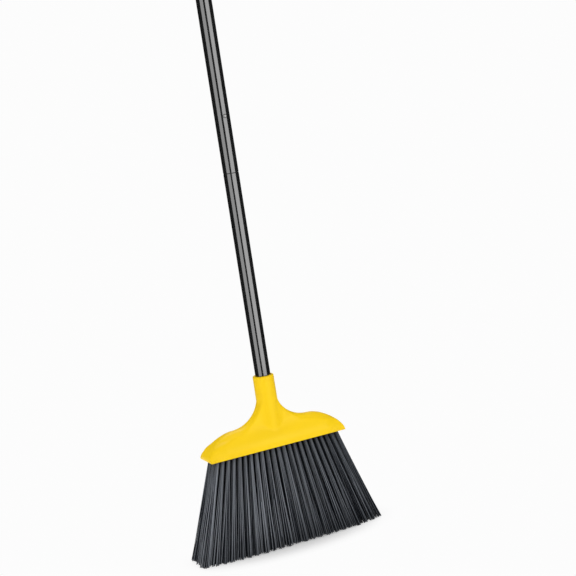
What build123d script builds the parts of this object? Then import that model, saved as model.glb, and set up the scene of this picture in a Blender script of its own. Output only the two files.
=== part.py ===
# Outdoor fan broom: a moulded cap with a handle socket, a tufted brush block and a tube handle in three
# sections. Millimetres. +Z runs up the handle, +X along the sweep, and the front faces -Y. The origin is
# on the floor below the handle, where the bristle tips stand.
import os
from math import cos, radians, sin, tan

from build123d import *

os.makedirs("parts", exist_ok=True)

# Driving dimensions

# Bristles
bristle_show = 154.0
sweep_length = 304.0
sweep_depth = 70.0
row_count = 5
long_row_count = 23
tuft_pitch = 9.0
row_pitch = 7.0
strand_radius = 1.6
strand_sides = 3
strand_spacing_root = 3.0
strand_spacing_tip = 6.6
strand_embed = 1.0

# Backing of the tufts
tuft_recess = 4.0
slice_thickness = 4.0
slice_end_margin = 8.0
block_height = 12.0
staple_length = 4.6
staple_width = 0.8
staple_height = 2.0
staple_clearance = 0.1

# Cap
cap_height = 110.0
lip_length = 228.0
lip_depth = 50.0
lip_band = 2.0
cap_wall = 2.6
end_height = 4.0
shoulder_height = 36.0
shoulder_fullness = 0.4
neck_radius = 52.0
neck_bury = 5.0
web_foot_depth = 23.0
web_foot_height = 36.0
web_top_depth = 16.0
crest_tilts = (24.0, 48.0)
crest_halves = (3.0, 6.5)
crest_spreads = (6.0, 14.0)
fairing_half = 28.0
fairing_depth = 23.0
fairing_bulge = 18.0
fairing_draft = 2.2
socket_top_radius = 16.3
socket_foot_radius = 17.0
socket_foot_height = 8.0
mouth_chamfer = 1.2
mouth_lead = 0.6
rib_thickness = 2.0
rib_places = (44.0, 80.0)
block_clearance = 0.3

# Handle
tube_diameter = 23.8
tube_wall = 0.8
section_length = 406.0
seam_above_mouth = 314.0
swage_length = 115.0
swage_cone = 1.2
slip = 0.15
socket_depth = 45.0
socket_clearance = 0.3

# Thread tip
thread_diameter = 19.05
thread_length = 33.0
thread_clearance = 0.25
tip_flange = 2.0
tip_stem = 24.0
tip_chamfer = 1.5
tip_stop_gap = 0.2
plug_clearance = 0.05
boss_floor = 3.0

# Snap buttons
button_above_seam = 85.0
button_diameter = 6.0
button_proud = 2.0
button_nose = 1.4
button_flange_radius = 4.2
button_flange_thickness = 0.8
button_flange_gap = 0.2
button_hole_clearance = 0.15
leaf_thickness = 0.6
leaf_width = 6.0
leaf_length = 46.0
leaf_overrun = 7.0
leaf_foot_width = 4.0
leaf_bend_radius = 1.5
leaf_wall_gap = 0.2

# Hang cap
hang_plug_length = 20.0
hang_collar = 6.0
hang_tongue_width = 20.0
hang_tongue_thickness = 10.0
hang_tongue_height = 24.0
hang_hole_diameter = 9.0
hang_chamfer = 1.5

# Levels up the handle axis
lip_z = bristle_show
face_z = lip_z + tuft_recess
back_z = face_z + slice_thickness
block_top_z = back_z + block_height
mouth_z = lip_z + cap_height
tube_foot_z = mouth_z - socket_depth
thread_foot_z = tube_foot_z - tip_flange - thread_length
seam_zs = [mouth_z + seam_above_mouth + n * section_length for n in range(2)]
handle_top_z = seam_zs[1] + section_length

# Sizes that follow from the ones above
lip_half = lip_length / 2
neck_half = socket_foot_radius - neck_bury
neck_height = shoulder_height + neck_radius
tube_radius = tube_diameter / 2
tube_bore_radius = tube_radius - tube_wall
swage_radius = tube_bore_radius - slip
swage_bore_radius = swage_radius - tube_wall
socket_bore_radius = tube_radius + socket_clearance
thread_bore_radius = thread_diameter / 2 + thread_clearance
long_row_half = (long_row_count - 1) / 2 * tuft_pitch
outer_row_half = (row_count - 1) / 2 * row_pitch
tuft_half_tip = strand_spacing_tip / 2 + strand_radius
fan_x = (sweep_length / 2 - tuft_half_tip) / long_row_half
fan_y = (sweep_depth / 2 - tuft_half_tip) / outer_row_half
slice_length = 2 * (long_row_half + slice_end_margin)

# The cap is drawn in two views, both with their origin on the lip, below the handle axis.
cap_front_plane = Plane(origin=(0, 0, lip_z), x_dir=(1, 0, 0), z_dir=(0, -1, 0))
cap_side_plane = Plane(origin=(0, 0, lip_z), x_dir=(0, 1, 0), z_dir=(1, 0, 0))


def cap_front(drop, lift, spread):
    """Front view of the cap: upright ends, round shoulders and a hollow neck that runs up the socket.

    The outline reaches drop below the lip. Its top is moved up by lift and its ends outward by spread.
    """
    foot = Vector(lip_half + spread, end_height)
    crown = Vector(neck_half + neck_radius, shoulder_height + lift)
    rise = Vector(0, shoulder_fullness * (crown.Y - foot.Y))
    run = Vector(shoulder_fullness * (foot.X - crown.X), 0)
    with BuildSketch() as view:
        with BuildLine():
            Bezier(foot, foot + rise, crown + run, crown)
            neck = TangentArc(crown, (neck_half, neck_height + lift), tangent=(-1, 0))
            Line(neck @ 1, (0, neck_height + lift))
            end = Line(foot, (lip_half + spread, -drop))
            Line(end @ 1, (0, -drop))
            mirror(about=Plane.YZ)
        make_face()
    return view.sketch


def cap_side(drop, inset):
    """Side view of the cap: a lip band, a hollow flare and a web that thins towards the socket."""
    with BuildSketch() as view:
        with BuildLine():
            bottom = Line((0, -drop - inset), (lip_depth / 2, -drop - inset))
            band = Line(bottom @ 1, (lip_depth / 2, lip_band))
            web = Line((web_foot_depth / 2, web_foot_height), (web_top_depth / 2, neck_height))
            TangentArc(web @ 0, band @ 1, tangent=(web @ 0) - (web @ 1))
            Line(web @ 1, (0, neck_height))
            mirror(about=Plane.YZ)
        make_face()
        if inset:
            offset(amount=-inset, kind=Kind.INTERSECTION, mode=Mode.REPLACE)
    return view.sketch


def socket_fairing():
    """Plan view of the socket with hollow flanks that run out into the web on both sides."""
    reach = Vector(fairing_half, fairing_depth / 2)
    hollow = (reach.dot(reach) - fairing_bulge**2) / (2 * fairing_bulge - fairing_depth)
    centre = reach + Vector(0, hollow)
    touch = centre * (fairing_bulge / (fairing_bulge + hollow))
    with BuildSketch() as view:
        with BuildLine():
            Line((fairing_half, 0), reach)
            TangentArc(reach, touch, tangent=(-1, 0))
            RadiusArc(touch, (0, fairing_bulge), -fairing_bulge)
            mirror(about=Plane.YZ)
            mirror(about=Plane.XZ)
        make_face()
    return view.sketch


def cap_form(drop, inset, faired):
    """The cap's form without its socket: two views crossed, and a crest with sloped facets on each side.

    Each facet is the front view again, run out downhill. It starts beside the crest's middle and spreads
    past the ends, so the cap's corners stay sharp at the lip and soften towards the shoulders.
    """
    front = cap_front(drop, -inset, -inset)
    side = cap_side(drop, inset)
    fairing = socket_fairing()
    facets = []
    for tilt, half, spread in zip(crest_tilts, crest_halves, crest_spreads):
        slope = radians(tilt)
        lift = half * tan(slope) - inset / cos(slope)
        facets.append((slope, cap_front(lip_depth, lift, spread - inset)))
    with BuildPart() as form:
        with BuildSketch(cap_side_plane):
            add(side)
        extrude(amount=lip_half, both=True)
        if faired:
            with BuildSketch(Plane.XY.offset(lip_z + socket_foot_height)):
                add(fairing)
            extrude(amount=neck_height - socket_foot_height, taper=fairing_draft)
        with BuildSketch(cap_front_plane):
            add(front)
        extrude(amount=lip_depth, both=True, mode=Mode.INTERSECT)
        for slope, facet in facets:
            for turn in (-1, 1):
                downhill = (0, turn * cos(slope), -sin(slope))
                extrude(cap_front_plane * facet, lip_depth, downhill, both=True, mode=Mode.INTERSECT)
    return form.part


# Cavity of the cap: the same form, one wall further in, open below and closed under the socket's boss.
# The cross ribs that the brush block seats on stay in it.
cavity_form = cap_form(cap_wall, cap_wall, False)
cavity_top_z = thread_foot_z - tip_stop_gap - boss_floor
with BuildPart() as cap_cavity:
    add(cavity_form)
    split(bisect_by=Plane.XY.offset(cavity_top_z), keep=Keep.BOTTOM)
    with BuildSketch(Plane.XY.offset(block_top_z)):
        with Locations([(side * place, 0) for side in (-1, 1) for place in rib_places]):
            Rectangle(rib_thickness, lip_depth)
    extrude(amount=cavity_top_z - block_top_z, mode=Mode.SUBTRACT)

# Cap: the form with the socket let in, then hollowed and bored
outer_form = cap_form(0, 0, True)
socket_step_z = tube_foot_z - tip_flange - tip_stop_gap
with BuildPart() as head_cap:
    add(outer_form)
    with BuildSketch(Plane.XZ):
        with BuildLine():
            Polyline(
                (0, lip_z + socket_foot_height),
                (socket_foot_radius, lip_z + socket_foot_height),
                (socket_top_radius, mouth_z),
                (0, mouth_z),
                close=True,
            )
        make_face()
    revolve(axis=Axis.Z)
    add(cap_cavity.part, mode=Mode.SUBTRACT)
    with BuildSketch(Plane.XY.offset(mouth_z)):
        Circle(socket_bore_radius)
    extrude(amount=socket_step_z - mouth_z, mode=Mode.SUBTRACT)
    with BuildSketch(Plane.XY.offset(socket_step_z)):
        Circle(thread_bore_radius)
    extrude(amount=thread_foot_z - tip_stop_gap - socket_step_z, mode=Mode.SUBTRACT)
    chamfer(head_cap.faces().sort_by(Axis.Z)[-1].edges().sort_by(SortBy.RADIUS)[0], mouth_lead)
    chamfer(head_cap.faces().sort_by(Axis.Z)[-1].edges().sort_by(SortBy.RADIUS)[-1], mouth_chamfer)
head_cap.part.label = "head_cap"
export_step(head_cap.part, "parts/head_cap.step")

# Brush block: fills the cavity between the tufts' backing and the ribs, one clearance in from the wall
block_form = cap_form(cap_wall, cap_wall + block_clearance, False)
with BuildPart() as brush_block:
    add(block_form)
    with BuildSketch(Plane.XY.offset(back_z)):
        Rectangle(lip_length, lip_depth)
    extrude(amount=block_height, mode=Mode.INTERSECT)
brush_block.part.label = "brush_block"
export_step(brush_block.part, "parts/brush_block.step")


def tuft_centres(row):
    """Tuft centres of one row at the backing. Every second row is one tuft shorter, so rows stagger."""
    count = long_row_count - row % 2
    y = row * row_pitch - outer_row_half
    return [((n - (count - 1) / 2) * tuft_pitch, y) for n in range(count)]


# Bristle rows, front to back: four strands a tuft, fused to the row's slice of the backing. All strands
# fan out from the backing to the floor by the same two ratios, so none cross. One corner of each strand
# points along the sweep, away from its tuft. The slice has a slot above each tuft for its staple.
root_z = face_z + strand_embed
corners = [(i / 2, j / 2) for i in (-1, 1) for j in (-1, 1)]
for row in range(row_count):
    centres = tuft_centres(row)
    with BuildPart() as bristle_row:
        with BuildSketch(Plane.XY.offset(face_z)):
            with Locations((0, centres[0][1])):
                Rectangle(slice_length, row_pitch)
        extrude(amount=slice_thickness)
        with BuildSketch(Plane.XY.offset(back_z)):
            with Locations(centres):
                Rectangle(staple_length + 2 * staple_clearance, staple_width + 2 * staple_clearance)
        extrude(amount=-staple_height - staple_clearance, mode=Mode.SUBTRACT)
        strands = []
        for x, y in centres:
            for i, j in corners:
                root = Vector(x + i * strand_spacing_root, y + j * strand_spacing_root, root_z)
                tip = Vector(fan_x * x + i * strand_spacing_tip, fan_y * y + j * strand_spacing_tip, 0)
                with BuildSketch(Plane.XY.offset(root_z), mode=Mode.PRIVATE) as section:
                    with Locations((root.X, root.Y)):
                        RegularPolygon(strand_radius, strand_sides, rotation=90 - 180 * i)
                lean = tip - root
                strands.append(extrude(section.sketch, lean.length, lean, mode=Mode.PRIVATE))
        add(strands)
    bristle_row.part.label = f"bristle_row_{row + 1}"
    export_step(bristle_row.part, f"parts/bristle_row_{row + 1}.step")

# Tuft staples: a flat anchor in each slot, flush with the back of its slice
with BuildPart() as tuft_staples:
    with BuildSketch(Plane.XY.offset(back_z)):
        with Locations([centre for row in range(row_count) for centre in tuft_centres(row)]):
            Rectangle(staple_length, staple_width)
    extrude(amount=-staple_height)
tuft_staples.part.label = "tuft_staples"
export_step(tuft_staples.part, "parts/tuft_staples.step")

# Thread tip: a thread that screws into the cap's boss, a flange under the tube and a stem inside it
stem_radius = tube_bore_radius - plug_clearance
with BuildPart() as thread_tip:
    with BuildSketch(Plane.XZ):
        with BuildLine():
            Polyline(
                (0, thread_foot_z),
                (thread_diameter / 2 - tip_chamfer, thread_foot_z),
                (thread_diameter / 2, thread_foot_z + tip_chamfer),
                (thread_diameter / 2, tube_foot_z - tip_flange),
                (tube_radius, tube_foot_z - tip_flange),
                (tube_radius, tube_foot_z),
                (stem_radius, tube_foot_z),
                (stem_radius, tube_foot_z + tip_stem),
                (0, tube_foot_z + tip_stem),
                close=True,
            )
        make_face()
    revolve(axis=Axis.Z)
thread_tip.part.label = "thread_tip"
export_step(thread_tip.part, "parts/thread_tip.step")


def tube_outline(foot_z, top_z, swaged):
    """Half section of a handle tube. A swaged top narrows to slip inside the next tube."""
    outer = [(tube_radius, foot_z)]
    inner = [(tube_bore_radius, foot_z)]
    if swaged:
        outer += [
            (tube_radius, top_z - swage_cone),
            (swage_radius, top_z),
            (swage_radius, top_z + swage_length),
        ]
        inner += [
            (tube_bore_radius, top_z - swage_cone),
            (swage_bore_radius, top_z),
            (swage_bore_radius, top_z + swage_length),
        ]
    else:
        outer += [(tube_radius, top_z)]
        inner += [(tube_bore_radius, top_z)]
    return outer + inner[::-1]


# Handle tubes, with the holes that the snap buttons come out of
button_zs = [seam_z + button_above_seam for seam_z in seam_zs]
button_hole_radius = button_diameter / 2 + button_hole_clearance
tubes = {
    "lower_tube": (tube_outline(tube_foot_z, seam_zs[0], True), button_zs[:1]),
    "middle_tube": (tube_outline(seam_zs[0], seam_zs[1], True), button_zs),
    "upper_tube": (tube_outline(seam_zs[1], handle_top_z, False), button_zs[1:]),
}
for name, (outline, hole_zs) in tubes.items():
    with BuildPart() as tube:
        with BuildSketch(Plane.XZ):
            with BuildLine():
                Polyline(*outline, close=True)
            make_face()
        revolve(axis=Axis.Z)
        with BuildSketch(Plane.XZ):
            with Locations([(0, hole_z) for hole_z in hole_zs]):
                Circle(button_hole_radius)
        extrude(amount=tube_diameter, mode=Mode.SUBTRACT)
    tube.part.label = name
    export_step(tube.part, f"parts/{name}.step")

# Snap buttons and the leaf springs behind them, inside each swaged end
flange_out = (swage_bore_radius**2 - button_flange_radius**2) ** 0.5 - button_flange_gap
flange_in = flange_out - button_flange_thickness
button_out = tube_radius + button_proud
front_leg_y = -(flange_in - leaf_thickness / 2)
back_leg_y = (swage_bore_radius**2 - (leaf_width / 2) ** 2) ** 0.5 - leaf_wall_gap - leaf_thickness / 2
leaf_middle_y = (front_leg_y + back_leg_y) / 2
for name, button_z in zip(("lower", "upper"), button_zs):
    with BuildPart() as snap_button:
        with BuildSketch(Plane(origin=(0, 0, button_z), x_dir=(0, 0, 1), z_dir=(1, 0, 0))):
            with BuildLine():
                Polyline(
                    (0, button_out),
                    (0, flange_in),
                    (button_flange_radius, flange_in),
                    (button_flange_radius, flange_out),
                    (button_diameter / 2, flange_out),
                    (button_diameter / 2, button_out - button_nose),
                    (button_diameter / 2 - button_nose, button_out),
                    close=True,
                )
            make_face()
        revolve(axis=Axis((0, 0, button_z), (0, -1, 0)))
    snap_button.part.label = f"{name}_snap_button"
    export_step(snap_button.part, f"parts/{name}_snap_button.step")
    with BuildPart() as snap_spring:
        with BuildSketch(Plane.YZ):
            with BuildLine():
                FilletPolyline(
                    (front_leg_y, button_z + leaf_overrun),
                    (front_leg_y, button_z - leaf_overrun),
                    (leaf_middle_y - leaf_foot_width / 2, button_z - leaf_length),
                    (leaf_middle_y + leaf_foot_width / 2, button_z - leaf_length),
                    (back_leg_y, button_z - leaf_overrun),
                    (back_leg_y, button_z + leaf_overrun),
                    radius=leaf_bend_radius,
                )
            trace(line_width=leaf_thickness)
        extrude(amount=leaf_width / 2, both=True)
    snap_spring.part.label = f"{name}_snap_spring"
    export_step(snap_spring.part, f"parts/{name}_snap_spring.step")

# Hang cap: a plug in the top tube, a collar as wide as the tube and a tongue with a hang hole
collar_top_z = handle_top_z + hang_collar
hang_hole_z = collar_top_z + hang_tongue_height - hang_tongue_width / 2
with BuildPart() as hang_cap:
    with BuildSketch(Plane.XY.offset(handle_top_z)):
        Circle(tube_radius)
    extrude(amount=hang_collar)
    with BuildSketch(Plane.XY.offset(handle_top_z)):
        Circle(stem_radius)
    extrude(amount=-hang_plug_length)
    with BuildSketch(Plane.XZ):
        with Locations((0, hang_hole_z)):
            Circle(hang_tongue_width / 2)
        with Locations((0, (collar_top_z + hang_hole_z) / 2)):
            Rectangle(hang_tongue_width, hang_hole_z - collar_top_z)
    extrude(amount=hang_tongue_thickness / 2, both=True)
    rims = hang_cap.faces().filter_by(Axis.Y).edges()
    chamfer(rims.filter_by(lambda edge: edge.center().Z > collar_top_z + hang_chamfer), hang_chamfer)
    with BuildSketch(Plane.XZ):
        with Locations((0, hang_hole_z)):
            Circle(hang_hole_diameter / 2)
    extrude(amount=hang_tongue_thickness, both=True, mode=Mode.SUBTRACT)
hang_cap.part.label = "hang_cap"
export_step(hang_cap.part, "parts/hang_cap.step")
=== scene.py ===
# %% [markdown]
# # Outdoor broom
# A fan-shaped broom: a yellow moulded cap, a block of dark tufts under it and a black tube handle.
# The solids of the rigid pieces come from the imported frame, and most only need their finishes here. Two
# things are made new: the cap's outer form, which is softer and fuller than plain solids can show, and
# the tufts, because a real tuft is a bundle of thin filaments. The two leaf springs behind the snap
# buttons are copied and cut into short lengths.

# %% Load the frame
import math
import random

import bmesh
import bpy
import numpy as np
from mathutils import Matrix, Vector


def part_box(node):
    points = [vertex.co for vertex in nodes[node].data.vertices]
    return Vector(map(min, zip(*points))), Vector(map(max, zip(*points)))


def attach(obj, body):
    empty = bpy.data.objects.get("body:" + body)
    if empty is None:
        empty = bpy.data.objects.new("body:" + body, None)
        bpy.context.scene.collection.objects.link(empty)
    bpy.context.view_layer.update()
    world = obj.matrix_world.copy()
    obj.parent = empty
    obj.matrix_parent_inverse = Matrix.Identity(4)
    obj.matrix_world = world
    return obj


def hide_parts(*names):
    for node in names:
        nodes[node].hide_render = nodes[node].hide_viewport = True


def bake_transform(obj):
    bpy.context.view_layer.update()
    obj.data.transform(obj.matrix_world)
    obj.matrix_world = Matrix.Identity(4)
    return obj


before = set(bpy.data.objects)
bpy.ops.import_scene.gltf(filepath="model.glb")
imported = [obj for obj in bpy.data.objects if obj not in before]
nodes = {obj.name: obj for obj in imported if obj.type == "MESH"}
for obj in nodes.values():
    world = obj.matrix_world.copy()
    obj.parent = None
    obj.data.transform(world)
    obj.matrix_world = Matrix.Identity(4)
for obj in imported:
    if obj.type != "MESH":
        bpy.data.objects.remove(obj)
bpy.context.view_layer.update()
scene = bpy.context.scene
scene.view_settings.view_transform = "Standard"

# %% [markdown]
# ## Camera
# The photograph looks at the broom from its left, a little from above, and the broom leans in the
# picture. Turning the camera about its own line of sight gives that lean while the broom stays upright
# on the floor. A long lens keeps the handle's sides nearly parallel.

# %% Camera
PHOTO_PIXELS = 576
FOCAL_PIXELS = 1300
SENSOR_MM = 36
camera_turn = math.radians(-23.255)
camera_rise = math.radians(7.607)
camera_roll = math.radians(-8.746)
camera_distance = 1.9845
aim_height = 0.3914
aim_across = 0.0586


def around(turn):
    """The level direction from the handle at this angle, counted from the front towards +X."""
    return Vector((math.sin(turn), -math.cos(turn), 0))


across = Vector((math.cos(camera_turn), math.sin(camera_turn), 0))
back = around(camera_turn) * math.cos(camera_rise) + Vector((0, 0, math.sin(camera_rise)))
upward = back.cross(across)
right = across * math.cos(camera_roll) + upward * math.sin(camera_roll)
up = upward * math.cos(camera_roll) - across * math.sin(camera_roll)
aim = Vector((0, 0, aim_height)) + across * aim_across

camera_data = bpy.data.cameras.new("camera")
camera_data.sensor_width = SENSOR_MM
camera_data.lens = SENSOR_MM * FOCAL_PIXELS / PHOTO_PIXELS
camera = bpy.data.objects.new("camera", camera_data)
camera.matrix_world = Matrix.Translation(aim + back * camera_distance) @ Matrix(
    (right, up, back)
).transposed().to_4x4()
scene.collection.objects.link(camera)
scene.camera = camera
print("camera at", [round(c, 3) for c in camera.matrix_world.translation])

# %% [markdown]
# ## Studio
# A glossy black tube shows its surroundings more than its own colour. Two tall softboxes, one each side
# of the camera, make the two pale stripes along it, and dark cards beside and between them keep its
# edges and its middle line black. The cards are seen by reflections alone. A small softbox low on the
# left lights the cap's end and stays out of reflections. A high one behind the broom lights the crests
# and lays a short shadow in front of the tips.

# %% Softboxes
STRIPE_REACH = 1.25
STRIPE_HEIGHT = 0.62
HEAD_CENTRE = Vector((0, 0, 0.2))


def area_light(name, width, tall, radiance, place, outward):
    """A rectangular light at this place that faces against outward, as bright as radiance says."""
    data = bpy.data.lights.new(name, "AREA")
    data.shape = "RECTANGLE"
    data.size = width
    data.size_y = tall
    data.energy = radiance * math.pi * width * tall
    light = bpy.data.objects.new(name, data)
    light.location = place
    light.rotation_euler = outward.to_track_quat("Z", "Y").to_euler()
    light.visible_camera = False
    scene.collection.objects.link(light)
    return light


def softbox(name, turn, reach, height, size, radiance):
    """A light that stands reach from the handle's axis, at this angle off the camera, and faces it."""
    outward = around(camera_turn + math.radians(turn))
    return area_light(name, *size, radiance, outward * reach + Vector((0, 0, height)), outward)


softbox("left_softbox", -36, STRIPE_REACH, STRIPE_HEIGHT, size=(1.15, 1.3), radiance=1.15)
softbox("right_softbox", 39, STRIPE_REACH, STRIPE_HEIGHT, size=(1.35, 1.3), radiance=1.95)
side_softbox = softbox("side_softbox", -92, reach=0.6, height=0.14, size=(0.5, 0.25), radiance=2.4)
side_softbox.visible_glossy = False
high_place = Vector((0.25, 0.75, 2.2))
area_light("back_softbox", 1.0, 1.0, 5.0, high_place, high_place - HEAD_CENTRE)

# %% Mesh helper


def mesh_object(name, bm, finish):
    """An object made from a bmesh, which is freed, with one finish."""
    mesh = bpy.data.meshes.new(name)
    bm.to_mesh(mesh)
    bm.free()
    mesh.materials.append(finish)
    made = bpy.data.objects.new(name, mesh)
    scene.collection.objects.link(made)
    return made


# %% [markdown]
# The page is plain white, so the camera sees a white world and a floor that glows just as white. Only
# close to the broom the floor is a lit matt surface, which keeps the soft shadow under the tips. From
# below the floor is clear, so that the bristle tips can be looked at.

# %% World and floor
BACKGROUND = (0.975, 0.975, 0.975, 1)
FILL = (0.365, 0.365, 0.37, 1)
SHADOW_SHARE = 0.95
SHADOW_REACH = (0.20, 0.095)
SHADOW_FULL = 0.40
FLOOR_LIFT = 0.17
FLOOR_WHITE = (0.9, 0.9, 0.9, 1)
FLOOR_SIZE = 6.0


def math_node(tree, operation, first, second):
    """The result of one sum on two values."""
    node = tree.nodes.new("ShaderNodeMath")
    node.operation = operation
    tree.links.new(first, node.inputs[0])
    tree.links.new(second, node.inputs[1])
    return node.outputs[0]


def seen_mask(tree):
    """1 for rays from the camera, from a glossy surface or through a clear one, and 0 for light."""
    rays = tree.nodes.new("ShaderNodeLightPath").outputs
    direct = math_node(tree, "MAXIMUM", rays["Is Camera Ray"], rays["Is Glossy Ray"])
    return math_node(tree, "MAXIMUM", direct, rays["Is Transmission Ray"])


def mix_shaders(tree, mask, low, high):
    """A shader between two, by a mask."""
    mix = tree.nodes.new("ShaderNodeMixShader")
    tree.links.new(mask, mix.inputs[0])
    tree.links.new(low.outputs[0], mix.inputs[1])
    tree.links.new(high.outputs[0], mix.inputs[2])
    return mix


world = bpy.data.worlds.new("studio")
world.use_nodes = True
scene.world = world
tree = world.node_tree
tree.nodes.clear()
fill = tree.nodes.new("ShaderNodeBackground")
fill.inputs["Color"].default_value = FILL
shown = tree.nodes.new("ShaderNodeBackground")
shown.inputs["Color"].default_value = BACKGROUND
out = tree.nodes.new("ShaderNodeOutputWorld")
tree.links.new(mix_shaders(tree, seen_mask(tree), fill, shown).outputs[0], out.inputs[0])

floor_finish = bpy.data.materials.new("floor_white")
floor_finish.use_nodes = True
tree = floor_finish.node_tree
tree.nodes.clear()
matt = tree.nodes.new("ShaderNodeBsdfDiffuse")
matt.inputs["Color"].default_value = FLOOR_WHITE
glow = tree.nodes.new("ShaderNodeEmission")
glow.inputs["Color"].default_value = BACKGROUND
place = tree.nodes.new("ShaderNodeTexCoord")
squeeze = tree.nodes.new("ShaderNodeVectorMath")
squeeze.operation = "MULTIPLY"
squeeze.inputs[1].default_value = (1 / SHADOW_REACH[0], 1 / SHADOW_REACH[1], 0)
away = tree.nodes.new("ShaderNodeVectorMath")
away.operation = "LENGTH"
fade = tree.nodes.new("ShaderNodeMapRange")
fade.interpolation_type = "SMOOTHSTEP"
fade.inputs["From Min"].default_value = SHADOW_FULL
fade.inputs["From Max"].default_value = 1.0
fade.inputs["To Min"].default_value = SHADOW_SHARE
fade.inputs["To Max"].default_value = 0.0
tree.links.new(place.outputs["Object"], squeeze.inputs[0])
tree.links.new(squeeze.outputs[0], away.inputs[0])
tree.links.new(away.outputs["Value"], fade.inputs["Value"])

seen = seen_mask(tree)
shaded = math_node(tree, "MULTIPLY", seen, fade.outputs[0])
plain = math_node(tree, "SUBTRACT", seen, shaded)
lift = tree.nodes.new("ShaderNodeEmission")
lift.inputs["Color"].default_value = (FLOOR_LIFT, FLOOR_LIFT, FLOOR_LIFT, 1)
tree.links.new(shaded, lift.inputs["Strength"])
both = tree.nodes.new("ShaderNodeAddShader")
tree.links.new(mix_shaders(tree, plain, matt, glow).outputs[0], both.inputs[0])
tree.links.new(lift.outputs[0], both.inputs[1])
under = tree.nodes.new("ShaderNodeNewGeometry")
clear = tree.nodes.new("ShaderNodeBsdfTransparent")
one_sided = mix_shaders(tree, under.outputs["Backfacing"], both, clear)
out = tree.nodes.new("ShaderNodeOutputMaterial")
tree.links.new(one_sided.outputs[0], out.inputs[0])

bm = bmesh.new()
bmesh.ops.create_grid(bm, x_segments=1, y_segments=1, size=FLOOR_SIZE / 2)
floor = mesh_object("floor", bm, floor_finish)
print("floor", FLOOR_SIZE, "m across")

# %% Dark cards
CARD_LOW = 0.004
CARD_HIGH = 2.2
CARD_REACH = 0.85
CARD_STEPS = 12
CARD_SPANS = {"left_card": (-165, -62), "right_card": (68, 165), "middle_card": (-13, 11)}
card_finish = bpy.data.materials.new("card_black")
card_finish.use_nodes = True
card_shader = card_finish.node_tree.nodes["Principled BSDF"]
card_shader.inputs["Base Color"].default_value = (0.01, 0.01, 0.01, 1)
card_shader.inputs["Roughness"].default_value = 1.0


def dark_card(name, first, last):
    """A curved upright card about the handle's axis, from one angle off the camera to another."""
    bm = bmesh.new()
    start = around(camera_turn + math.radians(first)) * CARD_REACH
    foot = bm.verts.new(start + Vector((0, 0, CARD_LOW)))
    head = bm.verts.new(start + Vector((0, 0, CARD_HIGH)))
    edge = bm.edges.new((foot, head))
    bmesh.ops.spin(
        bm,
        geom=[foot, head, edge],
        cent=(0, 0, 0),
        axis=(0, 0, 1),
        angle=math.radians(last - first),
        steps=CARD_STEPS,
    )
    card = mesh_object(name, bm, card_finish)
    card.visible_camera = False
    card.visible_diffuse = False
    card.visible_shadow = False
    card.visible_transmission = False


for name, (first, last) in CARD_SPANS.items():
    dark_card(name, first, last)

# %% [markdown]
# ## Shared surface effects
# Moulded plastic and powder coat are never quite smooth. One node group gives a fine grain as a height,
# and another gives slow patches where hands and dust have dulled the surface. The worn finishes take
# both with their own sizes, and the bristles take the patches alone.

# %% Node groups
PATCH_RANGE = (0.35, 0.70)


def node_group(name, inputs, outputs):
    """An empty shader group with named number inputs and outputs."""
    group = bpy.data.node_groups.new(name, "ShaderNodeTree")
    for socket, value in inputs.items():
        made = group.interface.new_socket(socket, in_out="INPUT", socket_type="NodeSocketFloat")
        made.default_value = value
    for socket in outputs:
        group.interface.new_socket(socket, in_out="OUTPUT", socket_type="NodeSocketFloat")
    return group, group.nodes.new("NodeGroupInput"), group.nodes.new("NodeGroupOutput")


def noise_in(group, given, detail):
    """Noise on the object's own coordinates, at the group's scale."""
    place = group.nodes.new("ShaderNodeTexCoord")
    noise = group.nodes.new("ShaderNodeTexNoise")
    noise.inputs["Detail"].default_value = detail
    group.links.new(place.outputs["Object"], noise.inputs["Vector"])
    group.links.new(given.outputs["Scale"], noise.inputs["Scale"])
    return noise


moulded_grain, given, result = node_group("moulded_grain", {"Scale": 900.0, "Depth": 1.0}, ["Height"])
grain = noise_in(moulded_grain, given, 2.0)
deep = math_node(moulded_grain, "MULTIPLY", grain.outputs["Fac"], given.outputs["Depth"])
moulded_grain.links.new(deep, result.inputs["Height"])

dull_patches, given, result = node_group(
    "dull_patches", {"Scale": 14.0, "Bright": 0.3, "Dull": 0.45}, ["Roughness", "Mask"]
)
patch = noise_in(dull_patches, given, 5.0)
patch.inputs["Roughness"].default_value = 0.6
for socket in ("Roughness", "Mask"):
    spread = dull_patches.nodes.new("ShaderNodeMapRange")
    spread.inputs["From Min"].default_value = PATCH_RANGE[0]
    spread.inputs["From Max"].default_value = PATCH_RANGE[1]
    dull_patches.links.new(patch.outputs["Fac"], spread.inputs["Value"])
    dull_patches.links.new(spread.outputs[0], result.inputs[socket])
    if socket == "Roughness":
        dull_patches.links.new(given.outputs["Bright"], spread.inputs["To Min"])
        dull_patches.links.new(given.outputs["Dull"], spread.inputs["To Max"])
print("groups:", [g.name for g in bpy.data.node_groups])

# %% Material helpers


def finish_of(name):
    """A new material and its tree and shader."""
    made = bpy.data.materials.new(name)
    made.use_nodes = True
    return made, made.node_tree, made.node_tree.nodes["Principled BSDF"]


def add_grain(tree, shader, scale, distance):
    """Fine moulded grain as a bump on the shader."""
    grain = tree.nodes.new("ShaderNodeGroup")
    grain.node_tree = moulded_grain
    grain.inputs["Scale"].default_value = scale
    bump = tree.nodes.new("ShaderNodeBump")
    bump.inputs["Distance"].default_value = distance
    tree.links.new(grain.outputs["Height"], bump.inputs["Height"])
    tree.links.new(bump.outputs["Normal"], shader.inputs["Normal"])


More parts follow.
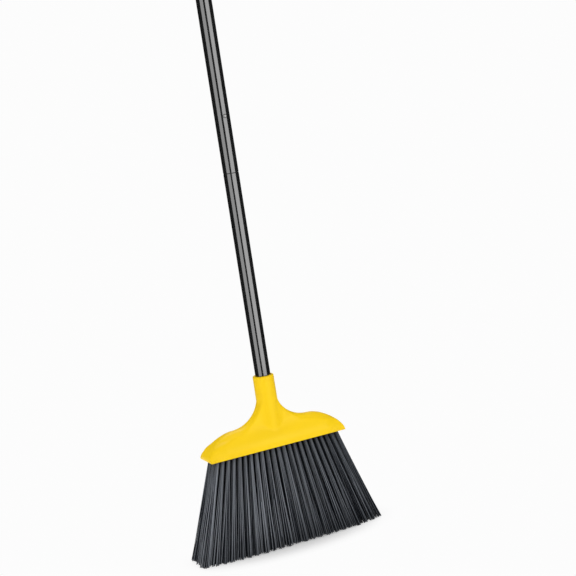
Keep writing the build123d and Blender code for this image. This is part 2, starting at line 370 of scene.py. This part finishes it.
def add_patches(tree, shader, scale, bright, dull):
    """Slow patches of roughness. Returns their mask for the colour."""
    patches = tree.nodes.new("ShaderNodeGroup")
    patches.node_tree = dull_patches
    patches.inputs["Scale"].default_value = scale
    patches.inputs["Bright"].default_value = bright
    patches.inputs["Dull"].default_value = dull
    tree.links.new(patches.outputs["Roughness"], shader.inputs["Roughness"])
    return patches.outputs["Mask"]


def mix_colours(tree, mask, low, high):
    """A colour between two, by a mask."""
    mix = tree.nodes.new("ShaderNodeMix")
    mix.data_type = "RGBA"
    mix.inputs["A"].default_value = low
    mix.inputs["B"].default_value = high
    tree.links.new(mask, mix.inputs["Factor"])
    return mix.outputs["Result"]


def worn_finish(name, patches, colours, grain):
    """A material and its shader. Patches are (scale, bright, dull) and grain is (scale, distance)."""
    made, tree, shader = finish_of(name)
    worn = add_patches(tree, shader, *patches)
    tree.links.new(mix_colours(tree, worn, *colours), shader.inputs["Base Color"])
    add_grain(tree, shader, *grain)
    return made, shader


def dress(material, *names):
    """Puts a finish on CAD nodes."""
    for name in names:
        mesh = nodes[name].data
        mesh.materials.clear()
        mesh.materials.append(material)


# %% [markdown]
# ## Cap
# The cap is injection-moulded in bright yellow polypropylene. Its surface is satin, so highlights are
# wide and soft, and the mould leaves a very fine grain.

# %% Yellow plastic
cap_plastic, shader = worn_finish(
    "cap_plastic",
    patches=(9.0, 0.34, 0.44),
    colours=((0.92, 0.612, 0.006, 1), (0.89, 0.580, 0.005, 1)),
    grain=(1400.0, 0.00004),
)
shader.inputs["Specular IOR Level"].default_value = 0.16
dress(cap_plastic, "head_cap")
print("cap_plastic on head_cap")

# %% [markdown]
# The solid's skirt and socket flanks are plain facets that meet at blunt creases. The moulding's shading
# reads as a skirt that keeps the lip's depth for its first centimetre and then leans in to the crest,
# with ends nearly as deep as the lip and soft creases everywhere but at the lip's corners. So the solid
# is copied and remeshed into an even grid. The grid's front and back are pushed out to the fuller skirt,
# and then it is smoothed, more with each millimetre above the lip.

# %% Cap shell
LIP_HEIGHT = 0.154
MOUTH_HEIGHT = 0.264
WELD = 0.000001
CAP_VOXEL = 0.0011
SOFT_START = 0.004
SOFT_FULL = 0.014
MOUTH_MARGIN = (0.003, 0.010)
RIB_ZONE = 0.09
CAVITY_HEIGHT = 0.030
BORE_RADIUS = 0.0138
SOFT_PASSES = 22
SOFT_FACTOR = 0.5
SKIRT_HEIGHTS = (0.0, 0.004, 0.008, 0.012, 0.016, 0.020, 0.024, 0.028, 0.032, 0.036)
SKIRT_HALVES = (0.0248, 0.0250, 0.0251, 0.0245, 0.0227, 0.0203, 0.0176, 0.0151, 0.0130, 0.0115)
SKIRT_FACING = 0.3
LIP_FACING = -0.2
INWARD_FACING = -0.3
RIB_FACING = 0.9
UNDERSIDE_FACING = -0.6
END_ZONE = (0.085, 0.112)
END_DRAFT = 0.6
LIP_EDGE = 0.0016
CREST_STEP = 0.0015
CREST_HALF = 0.003
CREST_OPENING = 1.6
END_TOP = 0.026
END_OPENING = 1.2


def applied(piece):
    """The piece's mesh with its modifiers made final."""
    ready = piece.evaluated_get(bpy.context.evaluated_depsgraph_get())
    mesh = bpy.data.meshes.new_from_object(ready)
    piece.modifiers.clear()
    piece.data = mesh
    return mesh


def vertex_values(mesh, name):
    """One vector for each of the mesh's points."""
    values = np.empty(len(mesh.vertices) * 3)
    mesh.vertices.foreach_get(name, values)
    return values.reshape(-1, 3)


bm = bmesh.new()
bm.from_mesh(nodes["head_cap"].data)
bmesh.ops.remove_doubles(bm, verts=bm.verts, dist=WELD)
cap_shell = mesh_object("cap_shell", bm, cap_plastic)
grid = cap_shell.modifiers.new("even_grid", "REMESH")
grid.mode = "VOXEL"
grid.voxel_size = CAP_VOXEL
mesh = applied(cap_shell)

# How far each point may stand out, from the skirt's profile and the room below the crest
points = vertex_values(mesh, "co")
normals = vertex_values(mesh, "normal")
above_lip = points[:, 2] - LIP_HEIGHT
facing = np.sign(points[:, 1]) * normals[:, 1]
column = np.rint(np.abs(points[:, 0]) / CREST_STEP).astype(int)
crest = np.zeros(column.max() + 1)
np.maximum.at(crest, column, above_lip)
places = np.arange(len(crest)) * CREST_STEP
below_crest = np.interp(np.abs(points[:, 0]), places, crest) - above_lip
crest_room = CREST_HALF + CREST_OPENING * below_crest + END_OPENING * np.maximum(0, END_TOP - above_lip)
skirt = np.interp(above_lip, SKIRT_HEIGHTS, SKIRT_HALVES)
end_skirt = SKIRT_HALVES[0] - END_DRAFT * above_lip
near_end = np.interp(np.abs(points[:, 0]), END_ZONE, (0, 1))
skirt = skirt + near_end * np.minimum(0, end_skirt - skirt)
full_depth = np.minimum(skirt, crest_room)
pushed = np.maximum(np.abs(points[:, 1]), full_depth)

# The lip's edge moves as a whole, so that its points stay apart
lip_reach = np.zeros(len(crest))
at_lip = np.abs(above_lip) < LIP_EDGE
np.maximum.at(lip_reach, column[at_lip], np.abs(points[at_lip, 1]))
outer_edge = np.abs(points[:, 1]) > lip_reach[column] - LIP_EDGE
lip_edge = at_lip & outer_edge & (facing > LIP_FACING)
lip_shift = np.maximum(0, full_depth - lip_reach[column])
pushed = np.where(lip_edge, np.abs(points[:, 1]) + lip_shift, pushed)
on_skirt = (facing > SKIRT_FACING) & (above_lip < SKIRT_HEIGHTS[-1]) | lip_edge
points[on_skirt, 1] = np.sign(points[on_skirt, 1]) * pushed[on_skirt]
mesh.vertices.foreach_set("co", points.ravel())
mesh.update()

# The smoothing spares the lip, the mouth, the bore, the ribs and all inner faces
soft = np.clip((above_lip - SOFT_START) / (SOFT_FULL - SOFT_START), 0, 1)
below_mouth = MOUTH_HEIGHT - points[:, 2]
soft *= np.clip((below_mouth - MOUTH_MARGIN[0]) / (MOUTH_MARGIN[1] - MOUTH_MARGIN[0]), 0, 1)
inward = facing < INWARD_FACING
in_bore = (np.hypot(points[:, 0], points[:, 1]) < BORE_RADIUS) & (above_lip > CAVITY_HEIGHT)
rib_side = (np.abs(points[:, 0]) < RIB_ZONE) & (np.abs(normals[:, 0]) > RIB_FACING)
on_rib = rib_side & (above_lip < CAVITY_HEIGHT)
soft[inward | in_bore | on_rib | (normals[:, 2] < UNDERSIDE_FACING)] = 0
group = cap_shell.vertex_groups.new(name="soft")
for index in np.flatnonzero(soft):
    group.add([int(index)], float(soft[index]), "REPLACE")
rounding = cap_shell.modifiers.new("rounding", "SMOOTH")
rounding.factor = SOFT_FACTOR
rounding.iterations = SOFT_PASSES
rounding.vertex_group = "soft"
mesh = applied(cap_shell)
cap_shell.vertex_groups.clear()
mesh.shade_smooth()
mesh.materials.clear()
mesh.materials.append(cap_plastic)
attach(cap_shell, "head")
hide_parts("head_cap")
print("cap_shell:", len(mesh.polygons), "faces")

# %% [markdown]
# ## Black plastic
# The brush block, the threaded insert and the hang cap are the same black polypropylene, a little duller
# than the cap.

# %% Black plastic
black_plastic, shader = worn_finish(
    "black_plastic",
    patches=(12.0, 0.38, 0.52),
    colours=((0.014, 0.014, 0.015, 1), (0.022, 0.022, 0.023, 1)),
    grain=(1100.0, 0.00005),
)
dress(black_plastic, "brush_block", "thread_tip", "hang_cap")
print("black_plastic on brush_block, thread_tip and hang_cap")

# %% [markdown]
# ## Handle
# The tubes are steel with a gloss black powder coat. Powder flows into a faint orange peel, and a clear
# gloss lies over the colour.

# %% Handle paint
handle_paint, shader = worn_finish(
    "handle_paint",
    patches=(20.0, 0.10, 0.15),
    colours=((0.006, 0.0065, 0.0065, 1), (0.010, 0.0105, 0.0105, 1)),
    grain=(420.0, 0.000006),
)
shader.inputs["Specular IOR Level"].default_value = 1.0
shader.inputs["Coat Weight"].default_value = 1.0
shader.inputs["Coat Roughness"].default_value = 0.05
dress(handle_paint, "lower_tube", "middle_tube", "upper_tube")
print("handle_paint on the three tubes")

# %% Bright steel
bright_steel, shader = worn_finish(
    "bright_steel",
    patches=(60.0, 0.34, 0.46),
    colours=((0.26, 0.26, 0.255, 1), (0.20, 0.20, 0.20, 1)),
    grain=(3000.0, 0.00001),
)
shader.inputs["Metallic"].default_value = 1.0
steel_nodes = ["tuft_staples"]
for place in ("lower", "upper"):
    steel_nodes += [f"{place}_snap_button", f"{place}_snap_spring"]
dress(bright_steel, *steel_nodes)
print("bright_steel on", len(steel_nodes), "nodes")

# %% [markdown]
# Each snap button rests on a bent leaf inside the tube. When the button is pressed in, the leaf's front
# leg gives way with it, and its back leg stays on the wall. So the leaf is copied from its solid and cut
# into short lengths.

# %% Leaf springs
LEAF_CUTS = 12


def leaf_spring(place):
    """A copy of one snap spring, cut into short lengths."""
    solid = f"{place}_snap_spring"
    low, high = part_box(solid)
    bm = bmesh.new()
    bm.from_mesh(nodes[solid].data)
    for height in np.linspace(low.z, high.z, LEAF_CUTS + 2)[1:-1]:
        whole = bm.verts[:] + bm.edges[:] + bm.faces[:]
        bmesh.ops.bisect_plane(bm, geom=whole, plane_co=(0, 0, height), plane_no=(0, 0, 1))
    for face in bm.faces:
        face.smooth = False
    leaf = mesh_object(f"{place}_leaf", bm, bright_steel)
    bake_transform(leaf)
    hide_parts(solid)
    return leaf


for place in ("lower", "upper"):
    leaf = leaf_spring(place)
    print(leaf.name, len(leaf.data.polygons), "faces")

# %% [markdown]
# ## Bristles
# Each tuft is a bundle of stiff dark filaments that leaves its hole tight and spreads towards the floor.
# Particle hair would not export as a mesh, so one short five-sided filament is modelled and copied, and
# every copy is then laid on its own line from the hole to the floor. The outer filaments of a tuft end a
# little higher, which rounds its tip. Each filament also carries a tone, which varies at random and holds
# painted light and shade as well. The tufts within are painted dark as shade between the rows, and a
# painted light makes the tufts on the left the palest. Near its hole a tuft carries a painted highlight
# along its middle line, so that it reads as one round ridge. Lower down pale and dark filaments alternate
# around it as painted highlight streaks and painted shaded gaps, and all of them darken a little towards
# the floor.

# %% Bristle finish
bristle_finish, tree, shader = finish_of("bristle")
# The tone attribute holds random tone together with painted light and shade.
tone = tree.nodes.new("ShaderNodeAttribute")
tone.attribute_name = "filament_tone_and_painted_light"
colour = mix_colours(tree, tone.outputs["Fac"], (0.003, 0.005, 0.009, 1), (0.315, 0.336, 0.371, 1))
tree.links.new(colour, shader.inputs["Base Color"])
shader.inputs["Specular IOR Level"].default_value = 0.12
add_patches(tree, shader, 50.0, 0.28, 0.40)
print("bristle finish ready")

# %% One filament
FILAMENT_SIDES = 5
FILAMENT_CUTS = 3
bm = bmesh.new()
bmesh.ops.create_cone(
    bm, cap_ends=True, segments=FILAMENT_SIDES, radius1=1.0, radius2=1.0, depth=1.0
)
bmesh.ops.translate(bm, verts=bm.verts, vec=(0, 0, -0.5))
long_edges = [e for e in bm.edges if abs(e.verts[0].co.z - e.verts[1].co.z) > 0.5]
bmesh.ops.subdivide_edges(bm, edges=long_edges, cuts=FILAMENT_CUTS, use_grid_fill=True)
for face in bm.faces:
    face.smooth = abs(face.normal.z) < 0.5
filament = bpy.data.meshes.new("filament")
bm.to_mesh(filament)
bm.free()
filament_points = np.array([v.co for v in filament.vertices])
print("filament:", len(filament.vertices), "points,", len(filament.polygons), "faces")

# %% Tuft rows
ROW_COUNT = 5
LONG_ROW_TUFTS = 23
TUFT_PITCH = 0.009
ROW_PITCH = 0.007
LONG_ROW_HALF = (LONG_ROW_TUFTS - 1) / 2 * TUFT_PITCH
FAN_ACROSS = 1.4859
FAN_DEEP = 2.15
SHORT_ROW_EASE = 0.4
FACE_HEIGHT = 0.158
BACK_HEIGHT = 0.162
SLICE_LENGTH = 0.214
ROOT_SINK = 0.001
TUFT_FILAMENTS = 50
ROOT_RADIUS = 0.0026
TIP_ACROSS = 0.0078
TIP_DEEP = 0.0100
TIP_FILL = 0.92
TIP_WANDER = 0.0006
CORNER_PULL = 0.34
CORNER_POWER = 4
ROOT_THICK = 0.00042
TIP_THICK = 0.00067
CROWN_RISE = 0.0014
RAGGED = 0.0022
BOW = 0.0004
# These tones also paint light and shade: shade between the rows, light from the left, ridge highlights
# and streaks.
INNER_PAINTED_SHADE = 0.014
OUTER_TONE = 0.245
TUFT_VARIES = (0.9, 1.1)
FILAMENT_VARIES = (0.7, 1.3)
RIDGE_PAINTED_HIGHLIGHT = 1.7
RIDGE_HIGHLIGHT_FALL = 1.4
ROOT_EVEN = 0.7
ROOT_VARIED = 0.3
LOOSE_FROM = 0.5
TUFT_ARMS = 21
PAINTED_STREAK_PALE = 2.5
PAINTED_STREAK_DARK = 0.02
SIDE_PAINTED_LIGHT = 0.38
TIP_FALL = 0.36
HELD_TIGHT = 0.16
STRAY = 0.10
GOLDEN_ANGLE = math.radians(137.508)
arms_round = sorted(range(TUFT_ARMS), key=lambda arm: arm * GOLDEN_ANGLE % math.tau)
# Every other arm of filaments around a tuft is a painted highlight streak, and the rest are painted
# shaded gaps.
painted_highlight_arms = arms_round[::2]
draws = random.Random(11)


def row_depth(row):
    """The row's place from front to back."""
    return (row - (ROW_COUNT - 1) / 2) * ROW_PITCH


def filament_lines(row):
    """Root, tip, bow, and root and tip tones of every filament of one row; the tones hold painted light
    and shade.
    """
    count = LONG_ROW_TUFTS - row % 2
    fan = FAN_ACROSS * (LONG_ROW_TUFTS - 1) / (count - 1 + row % 2 * SHORT_ROW_EASE)
    y = row_depth(row)
    roots, tips, bows, tones = [], [], [], []
    for n in range(count):
        x = (n - (count - 1) / 2) * TUFT_PITCH
        along = abs(x) / LONG_ROW_HALF
        outer = row in (0, ROW_COUNT - 1) or n in (0, count - 1)
        # The tufts within get a far darker tone: painted shade between the rows.
        tuft_tone_and_painted_light = (OUTER_TONE if outer else INNER_PAINTED_SHADE) * draws.uniform(*TUFT_VARIES)
        # Painted light: the tone falls from the left end to the right, as if lit from the left.
        tuft_tone_and_painted_light *= 1 - SIDE_PAINTED_LIGHT * x / LONG_ROW_HALF
        tip_x = x * fan + draws.gauss(0, TIP_WANDER)
        tip_y = y * FAN_DEEP * (1 - CORNER_PULL * along**CORNER_POWER) + draws.gauss(0, TIP_WANDER)
        start = draws.uniform(0, math.tau)
        for k in range(TUFT_FILAMENTS):
            out = math.sqrt((k + 0.5) / TUFT_FILAMENTS)
            turn = start + k * GOLDEN_ANGLE
            across_tuft = out * math.cos(turn)
            deep_tuft = out * math.sin(turn)
            dx = TIP_FILL * across_tuft + draws.gauss(0, STRAY)
            dy = TIP_FILL * deep_tuft + draws.gauss(0, STRAY)
            rise = CROWN_RISE * (dx**2 + dy**2) + draws.random() ** 2 * RAGGED
            root = (x + ROOT_RADIUS * across_tuft, y + ROOT_RADIUS * deep_tuft, FACE_HEIGHT + ROOT_SINK)
            roots.append(root)
            tips.append((tip_x + TIP_ACROSS * dx, tip_y + TIP_DEEP * dy, rise))
            widening = TIP_ACROSS * dx - ROOT_RADIUS * across_tuft
            bows.append((draws.gauss(0, BOW) - HELD_TIGHT * widening, draws.gauss(0, BOW), 0))
            # Pale and dark arms are painted highlight streaks and painted shaded gaps, with a random tone
            # on each filament.
            painted_streak = PAINTED_STREAK_PALE if k % TUFT_ARMS in painted_highlight_arms else PAINTED_STREAK_DARK
            painted_streak *= draws.uniform(*FILAMENT_VARIES)
            # Painted highlight: near the hole the tuft is paler along its middle line and darker at its
            # sides.
            ridge_highlight = RIDGE_PAINTED_HIGHLIGHT - RIDGE_HIGHLIGHT_FALL * across_tuft**2
            root_tone_and_painted_light = tuft_tone_and_painted_light * ridge_highlight * (ROOT_EVEN + ROOT_VARIED * painted_streak)
            tones.append((root_tone_and_painted_light, tuft_tone_and_painted_light * painted_streak))
    return np.array(roots), np.array(tips), np.array(bows), np.clip(tones, 0, 1)


def bristle_row(row):
    """The row's backing slice with all its filaments, as one piece."""
    roots, tips, bows, tones = filament_lines(row)
    bm = bmesh.new()
    for _ in range(len(roots)):
        bm.from_mesh(filament)
    size = Matrix.Diagonal((SLICE_LENGTH, ROW_PITCH, BACK_HEIGHT - FACE_HEIGHT, 1))
    place = Matrix.Translation((0, row_depth(row), (FACE_HEIGHT + BACK_HEIGHT) / 2))
    bmesh.ops.create_cube(bm, size=1.0, matrix=place @ size)
    piece = mesh_object(f"tufts_row_{row + 1}", bm, bristle_finish)
    mesh = piece.data

    # The copies come first among the points, so their lines and tones fill the arrays from the start
    down = -filament_points[:, 2]
    lines = roots[:, None, :] + (tips - roots)[:, None, :] * down[None, :, None]
    lines = lines + bows[:, None, :] * np.sin(np.pi * down)[None, :, None]
    ring = filament_points.copy()
    ring[:, 2] = 0
    thick = ROOT_THICK + (TIP_THICK - ROOT_THICK) * down
    laid = lines + ring[None, :, :] * thick[None, :, None]
    points = vertex_values(mesh, "co").ravel()
    points[: laid.size] = laid.ravel()
    mesh.vertices.foreach_set("co", points)
    shade = np.zeros(len(mesh.vertices), np.float32)
    loose = np.clip(down / LOOSE_FROM, 0, 1)
    tone_lines = tones[:, :1] * (1 - loose)[None, :] + tones[:, 1:] * loose[None, :]
    tone_lines = tone_lines * (1 - TIP_FALL * np.clip(2 * down - 1, 0, 1))[None, :]
    shade[: tone_lines.size] = tone_lines.ravel()
    mesh.attributes.new("filament_tone_and_painted_light", "FLOAT", "POINT").data.foreach_set("value", shade)
    mesh.update()
    return piece


for row in range(ROW_COUNT):
    piece = bristle_row(row)
    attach(piece, "head")
    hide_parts(f"bristle_row_{row + 1}")
    print(piece.name, len(piece.data.polygons), "faces")
